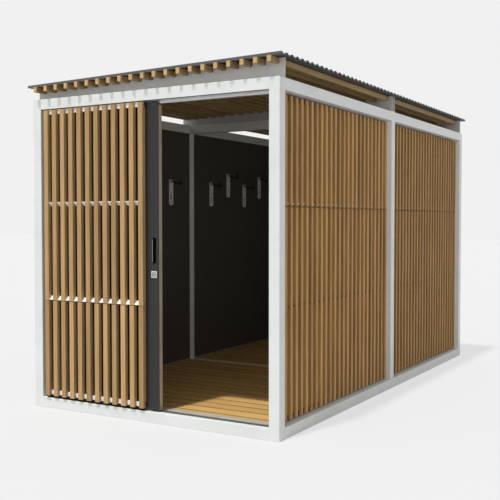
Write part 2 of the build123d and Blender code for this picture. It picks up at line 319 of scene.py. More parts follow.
coat.links.new(sums(coat, "ADD", peel, sums(coat, "MULTIPLY", cloud, 0.6)), outside["Height"])
print("coated surface has", len(coat.nodes), "nodes")

# %% [markdown]
# ### Brushed metal
# Rolled or brushed metal has fine lines one way. The same stretched noise as in timber gives them, much
# finer, and they change the gloss more than the colour.

# %% Brushed metal group
line_scale, line_draw, bloom_scale = 900.0, 0.02, 26.0
brush, inside, outside = effect(
    "brushed_metal",
    [("Place", "Vector"), ("Metal", "Color")],
    [("Colour", "Color"), ("Roughness", "Float"), ("Height", "Float")])
line = noise(brush, drawn_out(brush, inside["Place"], line_draw), line_scale, 3.0, 0.6)
bloom = noise(brush, inside["Place"], bloom_scale, 3.0)
level = sums(brush, "MULTIPLY", from_noise(brush, line, 0.9, 1.06), from_noise(brush, bloom, 0.92, 1.05))
satin = sums(brush, "ADD", from_noise(brush, line, 0.24, 0.38), from_noise(brush, bloom, 0.0, 0.12))
brush.links.new(shaded(brush, inside["Metal"], level), outside["Colour"])
brush.links.new(satin, outside["Roughness"])
brush.links.new(line, outside["Height"])
print("brushed metal has", len(brush.nodes), "nodes")


# %% [markdown]
# ### Materials from the groups
# Each material places one group, turns it so that its long way follows the piece, and feeds the shader.
# A number that is the same all over, such as how metallic a surface is, is set on the shader itself.

# %% Material maker
def finish(name, group, colours, bump, depth, turn=(0, 0, 0), **shader_values):
    """Make a material from one of the shared effects."""
    made = bpy.data.materials.new(name)
    made.use_nodes = True
    tree = made.node_tree
    shader = tree.nodes["Principled BSDF"]
    place = add(tree, "ShaderNodeTexCoord").outputs["Object"]
    if any(turn):
        angles = [radians(angle) for angle in turn]
        place = add(tree, "ShaderNodeMapping", {"Vector": place, "Rotation": angles}).outputs[0]
    fill = {"Place": place, **{key: (*rgb, 1.0) for key, rgb in colours.items()}}
    if "Tone" in group.interface.items_tree:
        fill["Tone"] = add(tree, "ShaderNodeAttribute", attribute_name="tone").outputs["Fac"]
    used = add(tree, "ShaderNodeGroup", fill, node_tree=group)
    tree.links.new(used.outputs["Colour"], shader.inputs["Base Color"])
    tree.links.new(used.outputs["Roughness"], shader.inputs["Roughness"])
    relief = add(tree, "ShaderNodeBump",
                 {"Strength": bump, "Distance": depth, "Height": used.outputs["Height"]})
    tree.links.new(relief.outputs[0], shader.inputs["Normal"])
    for key, value in shader_values.items():
        shader.inputs[key.replace("_", " ")].default_value = value
    return made


def wear(material, slot_name, *pieces):
    """Put a material on pieces; slot_name is not used."""
    for piece in pieces:
        piece.data.materials.clear()
        piece.data.materials.append(material)


# %% Timber finishes
upright, along_y, along_x = (0, 0, 0), (90, 0, 0), (0, 90, 0)
plain_sheen, timber_sheen, board_sheen, matt_sheen = 0.5, 0.25, 0.15, 0.05


def timber(name, pale, dark, turn=upright, bump=0.25, depth=0.0006, sheen=timber_sheen):
    return finish(name, grain, {"Pale": pale, "Dark": dark}, bump, depth, turn, Specular_IOR_Level=sheen)


slat_timber = timber("slat_timber", (0.56, 0.322, 0.118), (0.42, 0.228, 0.075))
door_slat_timber = timber("door_slat_timber", (0.56, 0.356, 0.168), (0.42, 0.252, 0.106))
# Darker than the slats' timber, as painted shade for the purlins' shaded sides; the ends are lifted paler
purlin_timber = timber("purlin_timber", (0.43, 0.290, 0.135), (0.32, 0.205, 0.085), along_y, 0.3, 0.0008)
floor_timber = timber("floor_timber", (0.68, 0.425, 0.150), (0.52, 0.310, 0.100), along_x, 0.3, 0.0008)
core_timber = timber("door_edge_timber", (0.60, 0.51, 0.38), (0.46, 0.385, 0.28), depth=0.0005,
                     sheen=plain_sheen)


# %% Coated finishes
def coated(name, colour, dust, bump=0.05, depth=0.0003, sheen=plain_sheen):
    return finish(name, coat, {"Coat": colour, "Dust": dust}, bump, depth, Specular_IOR_Level=sheen)


white_coat = coated("white_coat", (0.80, 0.825, 0.805), (0.74, 0.73, 0.70), bump=0.04)
# Painted light: a brighter white than the frame's, so the door strips look sunlit in the slats' shade
lit_strip_coat = coated("lit_strip_coat", (0.96, 0.96, 0.94), (0.93, 0.92, 0.90), bump=0.04)
# Painted shade: the wall strips' dark brown stands for the shade they lie in
shaded_strip_coat = coated("shaded_strip_coat", (0.105, 0.069, 0.032), (0.10, 0.07, 0.04), sheen=matt_sheen)
beam_coat = coated("beam_coat", (0.60, 0.595, 0.57), (0.45, 0.44, 0.42))
sheet_coat = coated("sheet_coat", (0.098, 0.097, 0.093), (0.16, 0.16, 0.15))
door_coat = coated("door_coat", (0.0125, 0.0130, 0.0125), (0.06, 0.06, 0.055), bump=0.06)
lining_coat = coated("lining_coat", (0.088, 0.083, 0.073), (0.08, 0.07, 0.06), 0.08, 0.0004, board_sheen)
matt_black = coated("matt_black", (0.008, 0.006, 0.004), (0.02, 0.02, 0.018), sheen=matt_sheen)
# Painted shade: the dark grey of the threshold strip stands for the shade in the door's groove
channel_shade_coat = coated("channel_shade_coat", (0.115, 0.118, 0.100), (0.12, 0.12, 0.11))
black_coat = coated("black_coat", (0.014, 0.014, 0.015), (0.05, 0.05, 0.05), 0.15, 0.0005)
grey_coat = coated("grey_coat", (0.25, 0.235, 0.215), (0.25, 0.235, 0.22))


# %% Metal finishes
def metal(name, colour, metallic, turn=upright, bump=0.05, depth=0.0002):
    return finish(name, brush, {"Metal": colour}, bump, depth, turn, Metallic=metallic)


gear_metal = metal("gear_metal", (0.66, 0.66, 0.67), 0.6, along_x)
lock_metal = metal("lock_metal", (0.74, 0.75, 0.76), 0.7)
plate_metal = metal("plate_metal", (0.90, 0.89, 0.87), 0.1)
sill_metal = metal("sill_metal", (0.78, 0.72, 0.62), 0.4, along_x)
screw_metal = metal("screw_metal", (0.50, 0.50, 0.51), 0.8, depth=0.0001)
print(len(bpy.data.materials), "materials")

# %% [markdown]
# ## The steel frame
# The posts and rails are square tube. The solids already have the right shape, so they stay, and two live
# modifiers only ease their edges: Weld closes the loose triangles, and Bevel takes the edge off, which
# lets each corner catch a thin line of light as a real coated edge does.

# %% Coat the frame
def eased(node_name, width):
    piece = nodes[node_name]
    piece.modifiers.new("weld", "WELD").merge_threshold = 0.00005
    bevel = piece.modifiers.new("edge", "BEVEL")
    bevel.width = width
    bevel.segments = 2
    bevel.limit_method = "ANGLE"
    bevel.angle_limit = radians(40)
    return piece


frame_names = [name for name in nodes if name.startswith("post_") or "_rail_" in name]
wear(white_coat, "frame_steel", *[eased(name, 0.0025) for name in frame_names])
beam_names = [f"roof_beam_{place}" for place in ("front", "mid", "rear")]
wear(beam_coat, "roof_steel", *[nodes[name] for name in beam_names])
strip_names = ["right_strips", "left_strips", "rear_strips"]
# Painted shade: the wall strips get the dark brown coat, as they look in the slats' shade
wear(shaded_strip_coat, "wall_strip", *[nodes[name] for name in strip_names])
print(len(frame_names), "frame pieces,", len(beam_names), "beams,", len(strip_names), "strip sets")

# %% [markdown]
# ## The slats
# A slat is a planed upright bar with eased long edges. At one of the two sloping strips it is cut right
# through on the slope, so rain runs off the end grain. One slat is shaped by bevelling a block and cutting
# it with Bisect, then an Array repeats it along the wall, and every length gets its own tone. The strips
# get a dark brown coat as painted shade, a thin pale cap on the upper strip is painted light on its top,
# and a dark pad in each cut is a painted shadow.

# %% One slat, cut on the slope
strip_rise, strip_run = 0.030, 0.029
strip_thickness = 0.004
joint_gap = 0.0005
slat_ease = 0.0012


def saw(piece, point, normal, waste):
    """Cut a piece through at a plane and drop the waste side."""
    only(piece)
    bpy.ops.object.mode_set(mode="EDIT")
    bpy.ops.mesh.select_all(action="SELECT")
    bpy.ops.mesh.bisect(plane_co=point, plane_no=normal, use_fill=True, **{waste: True})
    close()


def carve(piece, cutter):
    """Cut the shape of one piece out of another and drop the cutter."""
    cut = piece.modifiers.new("cut", "BOOLEAN")
    cut.object = cutter
    apply_all(piece)
    bpy.data.objects.remove(cutter)


def slat(width, outer, depth, bottom, top, cut_height, rebates=()):
    """Return one slat at the start of a wall, made of two lengths that meet at a sloping strip."""
    normal = Vector((0, -strip_rise / strip_run, 1)).normalized()
    lengths = []
    for low, high, lift, waste in (
            (bottom, cut_height + strip_rise, -joint_gap, "clear_outer"),
            (cut_height - strip_rise, top, strip_thickness + joint_gap, "clear_inner")):
        length = block("slat", (-width / 2, outer, low), (width / 2, outer + depth, high))
        ease(length, "Z", slat_ease)
        saw(length, (0, outer, cut_height + lift), normal, waste)
        for back, start, end in rebates:
            carve(length, block("cutter", (-width, back, start), (width, outer + 2 * depth, end)))
        lengths.append(length)
    sizes = [len(length.data.vertices) for length in lengths]
    return join("slat", lengths), sizes


# %% Walls of slats
slat_recess, slat_depth, slat_width = 0.042, 0.029, 0.031
slat_margin, side_count, rear_count = 0.017, 25, 26
slat_end_gap = 0.015
bay = (rear - front - 3 * tube) / 2
wall_places = {
    "right": ((right, front, 0), 90),
    "left": ((left, rear, 0), -90),
    "rear": ((right, rear, 0), 180),
}
panels = [
    ("right_front_slats", "right", tube, bay, side_count),
    ("right_rear_slats", "right", 2 * tube + bay, bay, side_count),
    ("left_rear_slats", "left", tube, bay, side_count),
    ("left_front_slats", "left", 2 * tube + bay, bay, side_count),
    ("rear_slats", "rear", tube, right - left - 2 * tube, rear_count),
]
# Painted shade, darker tones where less light reaches the rear bay: how far they spread, and their middle
painted_shade_tones = {"right_rear_slats": (0.3, 0.15)}
wall_rebate, rebate_height = 0.012, 0.048
rebate_face = slat_recess + slat_depth - wall_rebate
rebates = [(rebate_face, low, low + rebate_height) for low in (tube, rail_under - rebate_height)]
wall_cut = 1.553
strip_slope = strip_rise / strip_run
pad_inset, pad_proud, pad_under, pad_over = 0.0005, 0.0004, 0.0010, 0.0055
cap_setback, cap_back_gap, cap_end_gap = 0.0130, 0.0005, 0.002
cap_lift, cap_gauge = 0.0001, 0.0003
cap_front, cap_back = slat_recess + cap_setback, slat_recess + slat_depth - cap_back_gap
cap_low = wall_cut + strip_thickness + cap_lift + cap_setback * strip_slope


def set_on_wall(piece, wall):
    """Move a piece from where it was shaped to its wall."""
    place, turn = wall_places[wall]
    settle(piece)
    piece.location = place
    piece.rotation_euler.z = radians(turn)
    settle(piece)


caps, pads = [], []
for number, (node_name, wall, start, length, count) in enumerate(panels):
    panel, sizes = slat(slat_width, slat_recess, slat_depth, tube + slat_end_gap, rail_under - slat_end_gap,
                        wall_cut, rebates)
    step = (length - 2 * slat_margin) / (count - 1)
    row(panel, count, (step, 0, 0))
    tone(panel, sizes, number, *painted_shade_tones.get(node_name, ()))
    panel.location.x = start + slat_margin
    set_on_wall(panel, wall)
    soften(panel, 20)
    panel.name = node_name + "_planed"
    wear(slat_timber, "slat_timber", panel)
    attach(panel, "shelter")
    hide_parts(node_name)
    print(panel.name, len(panel.data.polygons), "faces, step", round(step, 4))
    # Painted shadow: a dark pad in each cut darkens the joint line
    pad = block("pad", (pad_inset - slat_width / 2, slat_recess - pad_proud, wall_cut - pad_under),
                (slat_width / 2 - pad_inset, slat_recess + pad_proud, wall_cut + pad_over))
    row(pad, count, (step, 0, 0))
    pad.location.x = start + slat_margin
    # Painted light: a pale cap on the upper strip's top, where the light falls
    cap = block("cap", (start + cap_end_gap, cap_front, cap_low),
                (start + length - cap_end_gap, cap_back, cap_low + cap_gauge))
    pick(cap, "FACE", lambda centre, normal: normal.y > 0.9)
    bpy.ops.transform.translate(value=(0, 0, (cap_back - cap_front) * strip_slope))
    close()
    for piece, group in ((pad, pads), (cap, caps)):
        set_on_wall(piece, wall)
        group.append(piece)

# %% Painted light on the caps and painted shadow in the cuts
caps, pads = join("wall_strip_lit_caps", caps), join("wall_joint_painted_shadow", pads)
wear(beam_coat, "strip_steel", caps)
wear(matt_black, "wall_strip", pads)
for piece in (caps, pads):
    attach(piece, "shelter")
    print(piece.name, len(piece.data.polygons), "faces")

# %% [markdown]
# ## The door's slats
# The sliding door carries wider slats that stand proud of its dark leaf. They are cut through at the lower
# strip, which rises inwards, so the same slat maker is used with other sizes. The panel rides with the door.

# %% Slats on the door
door_face, flat_depth = 0.020, 0.010
door_slat_width, door_slat_depth, door_slat_count = 0.041, 0.034, 12
door_start, door_end = 0.090, 1.193
door_slat_margin, door_stile = 0.032, 0.116
foot_gap, head_gap = 0.020, 0.010
foot_rebate, head_rebate = 0.066, 0.047
lower_strip, upper_strip = 0.841, 1.606
door_seed = 21
slat_start, slat_end = door_start + door_slat_margin, door_end - door_stile
outer = door_face - door_slat_depth
rebate_ends = ((tube, tube + foot_rebate), (rail_under - head_rebate, rail_under))
rebates = [(door_face - flat_depth, low, high) for low, high in rebate_ends]
panel, sizes = slat(door_slat_width, outer, door_slat_depth, tube + foot_gap, rail_under - head_gap,
                    lower_strip, rebates)
step = (slat_end - slat_start - door_slat_width) / (door_slat_count - 1)
row(panel, door_slat_count, (step, 0, 0))
tone(panel, sizes, door_seed)
panel.location = (left + slat_start + door_slat_width / 2, front, 0)
settle(panel)
soften(panel, 20)
panel.name = "door_slats_planed"
wear(door_slat_timber, "slat_timber", panel)
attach(panel, "door")
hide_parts("door_slats")
print(panel.name, "step", round(step, 4))

# %% [markdown]
# ### Strips, backing and seals on the door
# Four white steel strips run behind the slats: two flat ones at the foot and the head, and two on a slope.
# A sloping strip is a level plate whose rear edge is lifted or dropped. A matt black backing on the leaf
# between the slats is painted shade, a dark pad in each cut joint is a painted shadow, and a brush seal
# hangs in the running gap at the foot.

# %% White strips
strip_left_gap, strip_right_gap = 0.006, 0.012
strip_setback, strip_back_gap = 0.007, 0.001
flat_height, flat_foot_gap, flat_head_gap, flat_front = 0.035, 0.025, 0.006, 0.009
strip_ends = (left + slat_start + strip_left_gap, left + slat_end - strip_right_gap)
strip_front = front + outer + strip_setback
strip_back = front + door_face - strip_back_gap


def door_plate(name, y, z):
    """Start a piece that runs behind all the slats of the door."""
    return block(name, (strip_ends[0], y[0], z[0]), (strip_ends[1], y[1], z[1]))


strips = []
for height, rise in ((lower_strip, strip_rise), (upper_strip, -strip_rise)):
    low = height + rise * strip_setback / strip_run
    strip = door_plate("sloping_strip", (strip_front, strip_back), (low, low + strip_thickness))
    pick(strip, "FACE", lambda centre, normal: normal.y > 0.9)
    bpy.ops.transform.translate(value=(0, 0, rise * (strip_back - strip_front) / strip_run))
    close()
    strips.append(strip)
for low in (tube + flat_foot_gap, rail_under - flat_head_gap - flat_height):
    strips.append(door_plate("flat_strip", (front + flat_front, front + door_face), (low, low + flat_height)))
strips = join("door_strips_bent", strips)
wear(lit_strip_coat, "strip_steel", strips)
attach(strips, "door")
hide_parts("door_strips")
print(strips.name, len(strips.data.polygons), "faces")

# %% Painted-shade backing, painted-shadow joint pads and brush seal
backing_gauge, backing_foot, backing_head = 0.0008, 0.022, 0.012
brush_depth, brush_height = (0.004, 0.010), (0.003, 0.027)
door_pad_depth, door_pad_height = (0.0005, 0.001), (0.0007, 0.0048)
# Painted shade: a matt black sheet darkens the leaf between the slats
backing = door_plate("door_painted_shade_backing", (front + door_face - backing_gauge, front + door_face),
                     (tube + backing_foot, rail_under - backing_head))
brush_seal = door_plate("door_brush_seal", [front + y for y in brush_depth], [tube + z for z in brush_height])
# Painted shadow: a dark pad in each cut joint
pad_front, pad_back = (front + outer + y for y in door_pad_depth)
pad_low, pad_high = (lower_strip + z for z in door_pad_height)
pads = block("door_joint_painted_shadow", (pad_inset, pad_front, pad_low),
             (door_slat_width - pad_inset, pad_back, pad_high))
row(pads, door_slat_count, (step, 0, 0))
pads.location.x = left + slat_start
settle(pads)
for piece in (backing, brush_seal, pads):
    wear(matt_black, "pull_dark", piece)
    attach(piece, "door")
print("backing, seal and", door_slat_count, "joint pads")

# %% [markdown]
# ## Floor boards
# The floor is laid with boards from side to side, and a dark strip in the gap between neighbours is painted
# shade for the dark space under the boards. One board is eased along its length and repeated, and the first
# and the last board of a bay are ripped to the width that is left. Two screw heads stand over each joist on
# every whole board.

# %% Boards in both bays
floor_low, floor_high = 0.058, 0.085
board_gap, board_pitch, board_ease = 0.014, 0.135, 0.002
gap_sunk, gap_fit = 0.0012, 0.0002
sill_end = front + 0.150
floor_bays = (
    ("floor_front_bay", sill_end, -tube / 2, 0.045),
    ("floor_rear_bay", tube / 2, rear - tube, 0.090),
)
floor_seed, floor_spread = 40, 0.5
joist_start, joist_pitch, joist_count = 0.18, 0.4563, 5
joist_lines = [left + joist_start + k * joist_pitch for k in range(joist_count)]
screw_shares = (0.22, 0.78)
screw_places = []
gap_strips = []
for number, (node_name, start, end, first_gap) in enumerate(floor_bays):
    count = int((end - start - first_gap) / board_pitch) + 2
    row_start = start + first_gap - board_pitch
    boards = block(node_name + "_boards", (left + tube, row_start + board_gap / 2, floor_low),
                   (right - tube, row_start + board_pitch - board_gap / 2, floor_high))
    ease(boards, "X", board_ease)
    single = len(boards.data.vertices)
    row(boards, count, (0, board_pitch, 0))
    tone(boards, [single], floor_seed + number, floor_spread)
    saw(boards, (0, start, 0), (0, 1, 0), "clear_inner")
    saw(boards, (0, end, 0), (0, 1, 0), "clear_outer")
    soften(boards, 20)
    wear(floor_timber, "floor_timber", boards)
    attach(boards, "shelter")
    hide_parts(node_name)
    gap_start, gap_end = (start + first_gap + side * (board_gap / 2 - gap_fit) for side in (-1, 1))
    # Painted shade: a dark strip sunk in each gap stands for the dark space under the boards
    strip = block("gap_strip", (left + tube, gap_start, floor_low),
                  (right - tube, gap_end, floor_high - gap_sunk))
    row(strip, count - 1, (0, board_pitch, 0))
    gap_strips.append(strip)
    for k in range(1, count - 1):
        for share in screw_shares:
            screw_places += [(x, row_start + (k + share) * board_pitch, floor_high) for x in joist_lines]
    print(boards.name, count, "boards,", len(boards.data.polygons), "faces")
gap_strips = join("floor_gap_painted_shade", gap_strips)
wear(matt_black, "lining_board", gap_strips)
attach(gap_strips, "shelter")


# %% Countersunk screw heads
floor_screw_radius, floor_screw_height, floor_screw_sunk = 0.0042, 0.0012, 0.0004


def screw_head(name, radius, height, rim=0.35, drive=0.2, sunk=0.4):
    """Model one low screw head: a disc with a flat rim and a small drive hole."""
    head = cylinder(name, 10, radius, height)
    pick(head, "FACE", lambda middle, normal: normal.z > 0.9)
    bpy.ops.mesh.inset(thickness=radius * rim, depth=0)
    bpy.ops.mesh.inset(thickness=radius * drive, depth=-height * sunk)
    close()
    pick(head, "FACE", lambda middle, normal: normal.z < -0.9)
    bpy.ops.mesh.delete(type="FACE")
    close()
    return head


screw_places = [(x, y, z - floor_screw_sunk) for x, y, z in screw_places]
screws = copy_to(screw_head("floor_screws", floor_screw_radius, floor_screw_height), screw_places)
wear(screw_metal, "gear_metal", screws)
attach(screws, "shelter")
print(len(screw_places), "floor screws,", len(screws.data.polygons), "faces")

# %% [markdown]
# ## Purlins
# The purlins are timber bars that lie in the notches of the roof beams and show their sawn ends at the
# eaves. They follow the fall of the roof, so they are modelled on a level roof and then tilted together.

# %% Bars on the roof's slope
roof_fall = 0.043
seat = 0.051
roof_angle = atan2(roof_fall, right - left)
stretch = 1 / cos(roof_angle)
purlin_width, purlin_height, purlin_edge, purlin_count = 0.030, 0.040, 0.060, 21
overhang = 0.038
purlin_ease, end_inset = 0.0016, 0.0006
purlin_seed, lit_end_tone = 60, 2.0


def lay_on_roof(piece):
    """Tilt a piece from the level roof to the real one, which falls to the left."""
    piece.location = (left, 0, rail_top + seat)
    piece.rotation_euler.y = -roof_angle
    settle(piece)


pitch = (right - left - 2 * purlin_edge) / (purlin_count - 1) * stretch
purlins = block("purlins_planed", (-purlin_width / 2, front - overhang, 0),
                (purlin_width / 2, rear + overhang, purlin_height))
ease(purlins, "Y", purlin_ease)
pick(purlins, "FACE", lambda middle, normal: abs(normal.y) > 0.9)
bpy.ops.mesh.inset(thickness=end_inset, depth=0)
close()
single = len(purlins.data.vertices)
sawn = {vertex.index for vertex in purlins.data.vertices if vertex.select}
row(purlins, purlin_count, (pitch, 0, 0))
tone(purlins, [single], purlin_seed)
# Painted light: the sawn end faces get a tone over one, which makes them paler than the sides
for vertex in purlins.data.vertices:
    if vertex.index % single in sawn:
        purlins.data.attributes["tone"].data[vertex.index].value = lit_end_tone
purlins.location.x = purlin_edge * stretch
settle(purlins)
lay_on_roof(purlins)
soften(purlins, 20)
wear(purlin_timber, "purlin_timber", purlins)
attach(purlins, "shelter")
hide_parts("purlins")
print(purlins.name, "pitch", round(pitch, 4))

# %% [markdown]
# ## The roof sheet
# The roof is a thin steel sheet with even round waves. An edge is spun through one arc up and one arc down
# to make a single wave, an Array repeats it over the depth, and the meeting points are merged. The two ends
# are cut on a crest and folded down, which makes the plain edge that shows at the front. Solidify gives the
# sheet its gauge.

# %% One wave
wave_count, wave_height, gauge = 55, 0.020, 0.0015
sheet_out, side_out, sheet_gap = 0.025, 0.028, 0.0003
arc_steps = 6
wave = (rear - front + 2 * sheet_out) / wave_count
swing = (wave_height - gauge) / 2
radius = (wave ** 2 / 16 + swing ** 2) / (2 * swing)
sweep = 2 * asin(wave / 4 / radius)
middle = purlin_height + sheet_gap + swing
sheet_start, sheet_end = front - sheet_out, rear + sheet_out
width = (right - left + 2 * side_out) * stretch
first = sheet_start - wave / 4
crest_centre = (0, sheet_start, middle + swing - radius)
valley_centre = (0, sheet_start + wave / 2, middle - swing + radius)
bpy.ops.object.select_all(action="DESELECT")
bpy.ops.mesh.primitive_plane_add(size=1, location=(width / 2 - side_out * stretch, first - 0.5, middle))
sheet = bpy.context.object
sheet.name = "roof_sheet_waved"
sheet.scale.x = width
settle(sheet)
pick(sheet, "EDGE", lambda centre, way: centre.y < first - 0.9)
bpy.ops.mesh.delete(type="VERT")
bpy.ops.mesh.select_all(action="SELECT")
bpy.ops.mesh.spin(steps=arc_steps, angle=sweep, center=crest_centre, axis=(1, 0, 0))
bpy.ops.mesh.spin(steps=arc_steps, angle=-sweep, center=valley_centre, axis=(1, 0, 0))
close()
heights = [vertex.co.z - middle for vertex in sheet.data.vertices]
print("one wave from", round(min(heights), 4), "to", round(max(heights), 4), "about the middle line")

# %% Repeat, fold the ends and thicken
merge_distance = 0.0002
row(sheet, wave_count + 1, (0, wave, 0))
only(sheet)
bpy.ops.object.mode_set(mode="EDIT")
bpy.ops.mesh.select_all(action="SELECT")
bpy.ops.mesh.remove_doubles(threshold=merge_distance)
ends = (sheet_start + gauge, sheet_end - gauge)
bpy.ops.mesh.bisect(plane_co=(0, ends[0], 0), plane_no=(0, 1, 0), clear_inner=True)
bpy.ops.mesh.select_all(action="SELECT")
bpy.ops.mesh.bisect(plane_co=(0, ends[1], 0), plane_no=(0, 1, 0), clear_outer=True)
close()


def at_end(centre, way):
    return abs(way.x) > 0.9 and min(abs(centre.y - end) for end in ends) < merge_distance


pick(sheet, "EDGE", at_end)
drop = max(vertex.co.z for vertex in sheet.data.vertices) - purlin_height - sheet_gap
bpy.ops.mesh.extrude_region_move(TRANSFORM_OT_translate={"value": (0, 0, -drop)})
bpy.ops.mesh.select_all(action="SELECT")
bpy.ops.mesh.normals_make_consistent(inside=False)
close()
upward = sum(face.normal.z for face in sheet.data.polygons) > 0
thick = sheet.modifiers.new("gauge", "SOLIDIFY")
thick.thickness = gauge
thick.offset = 1 if upward else -1
apply_all(sheet)
lay_on_roof(sheet)
soften(sheet, 50)
wear(sheet_coat, "roof_sheet", sheet)
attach(sheet, "shelter")
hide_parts("roof_sheet")
print(sheet.name, len(sheet.data.polygons), "faces, upward", upward)


# %% Screws in the valleys
washer_radius, washer_height = 0.008, 0.002
bolt_radius, bolt_height = 0.0048, 0.005
first_screw, screw_every = 2, 5


def roof_screw():
    """Model one roofing screw: a round washer under a hexagon head."""
    washer = cylinder("washer", 10, washer_radius, washer_height, (0, 0, washer_height / 2))
    head = cylinder("head", 6, bolt_radius, bolt_height, (0, 0, washer_height + bolt_height / 2))
    return join("roof_screws", [washer, head])


valley = purlin_height + sheet_gap + gauge
screw_places = []
for k in range(purlin_count):
    for number in range(first_screw, wave_count, screw_every):
        screw_places.append((purlin_edge * stretch + k * pitch, sheet_start + (number + 0.5) * wave, valley))
roof_screws = copy_to(roof_screw(), screw_places)
lay_on_roof(roof_screws)
wear(screw_metal, "gear_metal", roof_screws)
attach(roof_screws, "shelter")
print(len(screw_places), "roof screws,", len(roof_screws.data.polygons), "faces")

# %% [markdown]
# ## Door leaf, track and hidden gear
# The leaf, its timber core, the track and the guide keep their solids. They only need their finishes: a dark
# satin coat on the face, timber on the edge that shows, and plain metal above and below.

# %% Finish the kept solids
thin_edge = 0.001
lining_names = ("right_lining", "left_lining", "rear_lining", "front_fixed_panel")
gear_names = ("door_track", "door_guide", "door_hangers")
wear(door_coat, "door_skin", eased("door_skin", thin_edge))
wear(core_timber, "door_timber", eased("door_core", thin_edge))
wear(lining_coat, "lining_board", *[nodes[name] for name in lining_names])
wear(gear_metal, "gear_metal", *[nodes[name] for name in gear_names])
wear(sill_metal, "sill_metal", eased("door_sill", thin_edge))
print("leaf, linings, track and sill finished")

# %% Painted shade on the threshold and under the head rail, and skirtings
head_shadow_depth, head_shadow_height = (0.002, 0.010), 0.003
channel_depth, channel_sunk, channel_proud = (0.038, 0.082), 0.001, 0.0012
skirting_gauge, skirting_height = 0.003, 0.012
inner_left, inner_right, inner_rear = left + tube, right - tube, rear - tube
# Painted shadow: a matt black strip under the head rail, where the running gap shows dark
head_shadow_strip = block("door_head_painted_shadow", (inner_left, front + head_shadow_depth[0], rail_under - head_shadow_height),
                  (inner_right, front + head_shadow_depth[1], rail_under))
wear(matt_black, "pull_dark", head_shadow_strip)
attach(head_shadow_strip, "shelter")
# Painted shade: a flat dark strip on the threshold stands for the shade in the groove the door runs in
channel = block("threshold_painted_shade", (inner_left, front + channel_depth[0], tube - channel_sunk),
                (inner_right, front + channel_depth[1], tube + channel_proud))
wear(channel_shade_coat, "pull_dark", channel)
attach(channel, "shelter")
skirting_top = floor_high + skirting_height
skirtings = []
for start, end in ((sill_end, -tube / 2), (tube / 2, inner_rear)):
    for x in (inner_left, inner_right - skirting_gauge):
        skirtings.append(block("skirting", (x, start, floor_high), (x + skirting_gauge, end, skirting_top)))
skirtings.append(block("skirting", (inner_left, inner_rear - skirting_gauge, floor_high),
                       (inner_right, inner_rear, skirting_top)))
skirtings = join("floor_skirtings", skirtings)
wear(grey_coat, "sill_metal", skirtings)
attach(skirtings, "shelter")
print("threshold channel and", len(skirtings.data.polygons) // 6, "skirtings")

# %% [markdown]
# ## The finger pull
# The pull is a cup let into the leaf: a thin rim with rounded ends round a deep slot. Bevelled corners round
# the rim and the cutter alike, and a Boolean sinks the slot. Its left flank slopes, so fingers get behind it.

# %% Cup and rim
lock_edge, pull_centre = 0.039, 1.2445
pull_half, pull_long, pull_depth, pull_wall = 0.017, 0.0925, 0.022, 0.002
cup_corner, slot_corner, cup_proud, slot_out = 0.012, 0.010, 0.0002, 0.01
bed_share = 0.6
lip_width, lip_proud, lip_depth = 0.0025, 0.0008, 0.001
pull_place = Vector((left + door_end - lock_edge, front + door_face, pull_centre))
cup = block("door_pull_cup", (-pull_half, -cup_proud, -pull_long), (pull_half, pull_depth, pull_long))
slot_half, slot_long = pull_half - pull_wall, pull_long - pull_wall
slot = block("slot", (-slot_half, -slot_out, -slot_long), (slot_half, pull_depth - pull_wall, slot_long))
for piece, corner in ((cup, cup_corner), (slot, slot_corner)):
    ease(piece, "Y", corner, 5)
pick(slot, "FACE", lambda centre, normal: normal.y > 0.9)
bpy.ops.transform.resize(value=(bed_share, 1, 1), center_override=(slot_half, 0, 0))
close()
carve(cup, slot)
cup.location = pull_place
settle(cup)
soften(cup, 30)
wear(matt_black, "pull_dark", cup)
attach(cup, "door")
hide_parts("door_pull")
# Painted highlight: a bright metal strip on the left rim only, where the rim catches the light
lip = block("door_pull_painted_highlight", (-pull_half, -lip_proud, cup_corner - pull_long),
            (lip_width - pull_half, lip_depth, pull_long - cup_corner))
lip.location = pull_place
settle(lip)
wear(screw_metal, "lock_metal", lip)
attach(lip, "door")
print(cup.name, len(cup.data.polygons), "faces, with a bright lip")

# %% [markdown]
# ## The lock
# A square plate with rounded corners carries a dark ring and a round core with a keyhole. The plate is a
# block with bevelled corners, the ring and the core are inset and pushed from a disc, and a Boolean cuts the
# keyhole.

# %% Plate, ring and core
lock_height = 1.074
plate_half, plate_depth, plate_corner = 0.0245, 0.005, 0.004
ring_radius, ring_depth, ring_face = 0.018, 0.0045, -0.0062
ring_rim, groove_slope, groove_depth = 0.0022, 0.004, 0.0025
core_radius, core_depth, core_face = 0.010, 0.0085, -0.009
key_half_width, key_half_height, key_depth = 0.0012, 0.0045, (-0.012, -0.005)
lock_ease, near_face = 0.0008, 0.0001
lock_place = Vector((left + door_end - lock_edge, front + door_face, lock_height))


def disc(name, radius, depth, face_y):
    """Start a round piece whose axis points to the front and whose front face lies at face_y."""
    return cylinder(name, 40, radius, depth, (0, face_y + depth / 2, 0), (radians(90), 0, 0))


def ease_front(piece, face_y):
    """Bevel the edges round the front face."""
    pick(piece, "EDGE", lambda centre, way: centre.y < face_y + near_face)
    round_edges(lock_ease, 2)


